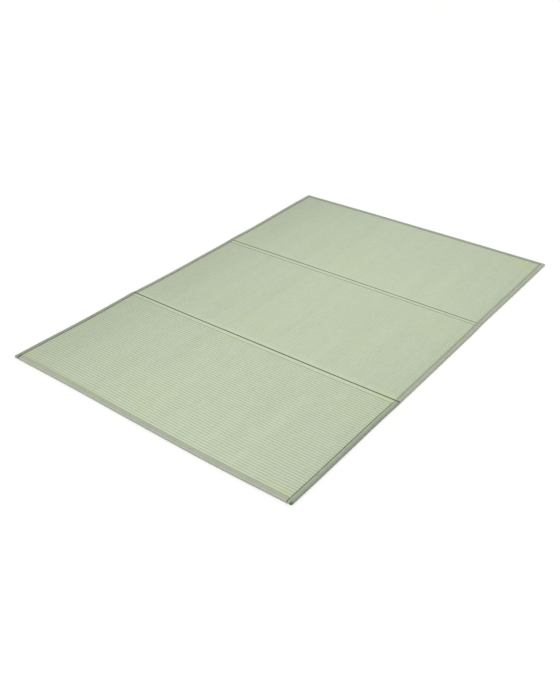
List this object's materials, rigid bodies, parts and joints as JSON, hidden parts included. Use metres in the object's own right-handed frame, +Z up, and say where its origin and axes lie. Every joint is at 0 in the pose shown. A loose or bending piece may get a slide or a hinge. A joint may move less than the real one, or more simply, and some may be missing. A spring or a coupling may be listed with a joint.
{
  "type": "fold-up tatami mat",
  "caption": "Flat fold-up tatami mat: woven rush panels in a row with cloth binding round their edges and a soft spine strip at one fold.",
  "frame": {"origin": "on the floor under the middle of the mat's bounding box", "axes": "+X across the mat to the right, +Y along the mat from its near end to its far end, +Z up"},
  "size_m": [1.4172, 2.0182, 0.01],
  "materials": {
    "woven_rush": "pale green woven rush, ribbed across the mat, dry with a faint straw sheen",
    "binding_cloth": "grey-green closely woven cotton-like tape, matt"
  },
  "bodies": {
    "root": {"panel_near": "woven_rush", "panel_middle": "woven_rush", "panel_far": "woven_rush", "fold_spine": "woven_rush", "side_binding_near_left": "binding_cloth", "side_binding_near_right": "binding_cloth", "side_binding_far_left": "binding_cloth", "side_binding_far_right": "binding_cloth", "end_binding_near": "binding_cloth", "end_binding_far": "binding_cloth"}
  },
  "joints": []
}
